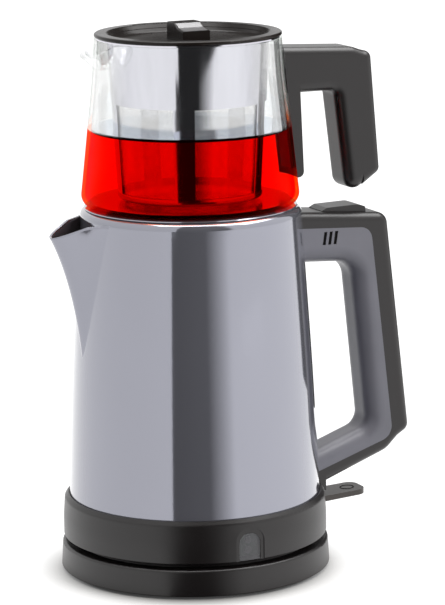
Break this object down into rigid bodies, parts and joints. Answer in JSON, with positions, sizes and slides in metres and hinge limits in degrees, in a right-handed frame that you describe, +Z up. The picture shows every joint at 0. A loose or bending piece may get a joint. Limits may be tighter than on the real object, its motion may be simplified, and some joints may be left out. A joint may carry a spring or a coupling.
{
  "type": "tea maker",
  "caption": "Cordless kettle on a round power base with a glass teapot, its hanging strainer and dished lid stacked on top; both vessels have side handles.",
  "frame": {"origin": "on the table, under the centre of the power base", "axes": "+Z up along the kettle's axis, -X towards both spouts, +X towards both handles, -Y towards the indicator window"},
  "size_m": [0.2265, 0.1598, 0.3236],
  "materials": {
    "black_plastic": "satin black moulded plastic",
    "dark_plastic": "matt black moulded plastic",
    "grey_paint": "glossy warm grey lacquer on steel",
    "grey_plastic": "glossy warm grey plastic",
    "steel": "brushed stainless steel",
    "rubber": "soft black rubber",
    "brass": "plain brass",
    "aluminium": "plain aluminium",
    "bimetal": "rolled bimetal",
    "glass": "clear borosilicate glass",
    "smoked_window": "smoked translucent plastic",
    "lamp": "frosted lamp",
    "circuit_board": "lacquered board",
    "silicone": "translucent silicone tube"
  },
  "bodies": {
    "power_base": {"base_housing": "black_plastic", "base_plate": "dark_plastic", "base_feet": "rubber", "base_screws": "steel", "socket_hub": "dark_plastic", "socket_terminals": "brass", "cord_bush": "rubber"},
    "socket_turntable": {"socket_ring": "dark_plastic"},
    "kettle": {"collar": "black_plastic", "bottom_cover": "dark_plastic", "cover_screws": "steel", "switch_pin": "steel", "indicator_window": "smoked_window", "indicator_leds": "lamp", "led_board": "circuit_board", "kettle_body": "grey_paint", "spout_filter": "steel", "seat_ring": "black_plastic", "lid_hinge_pin": "steel", "heating_plate": "steel", "plate_gasket": "rubber", "heat_spreader": "aluminium", "heating_element": "aluminium", "control_unit": "dark_plastic", "bimetal_discs": "bimetal", "plug_contacts": "brass", "handle_outer": "black_plastic", "handle_inner": "grey_plastic", "handle_brackets": "steel", "handle_screws": "steel", "steam_tube": "silicone", "button_spring": "steel", "kettle_spout": "grey_paint"},
    "switch_lever": {"switch_paddle": "black_plastic"},
    "lid_release": {"lid_button": "black_plastic"},
    "kettle_cover": {"kettle_lid": "dark_plastic", "kettle_lid_seal": "rubber"},
    "teapot": {"teapot_glass": "glass", "teapot_handle_outer": "black_plastic", "teapot_handle_inner": "grey_plastic", "handle_pads": "rubber"},
    "strainer": {"strainer_frame": "steel", "strainer_mesh": "steel", "strainer_floor": "steel"},
    "teapot_cover": {"teapot_lid": "black_plastic", "lid_tab_insert": "grey_plastic", "teapot_lid_seal": "rubber"}
  },
  "joints": [
    {"name": "kettle_swivel", "type": "hinge", "parent": "power_base", "child": "socket_turntable", "pos_m": [0, 0, 0.028], "axis": [0, 0, 1], "continuous": true},
    {"name": "kettle_lift", "type": "slide", "parent": "socket_turntable", "child": "kettle", "axis": [0, 0, 1], "range_m": [0, 0.05]},
    {"name": "switch_press", "type": "hinge", "parent": "kettle", "child": "switch_lever", "pos_m": [0.066, 0, 0.0304], "axis": [0, 1, 0], "range_deg": [0, 6]},
    {"name": "button_press", "type": "slide", "parent": "kettle", "child": "lid_release", "axis": [0, 0, -1], "range_m": [0, 0.003], "stiffness_N_per_m": 400, "deforming": ["button_spring"]},
    {"name": "teapot_lift", "type": "slide", "parent": "kettle", "child": "teapot", "axis": [0, 0, 1], "range_m": [0, 0.14]},
    {"name": "kettle_lid_hinge", "type": "hinge", "parent": "kettle", "child": "kettle_cover", "pos_m": [0.0546, 0, 0.2132], "axis": [0, 1, 0], "range_deg": [0, 75]},
    {"name": "strainer_lift", "type": "slide", "parent": "teapot", "child": "strainer", "axis": [0, 0, 1], "range_m": [0, 0.11]},
    {"name": "teapot_lid_lift", "type": "slide", "parent": "strainer", "child": "teapot_cover", "axis": [0, 0, 1], "range_m": [0, 0.06]}
  ],
  "couplings": [
    {"joint": "kettle_lid_hinge", "follows": "teapot_lift", "rad_per_m": 9.3}
  ]
}
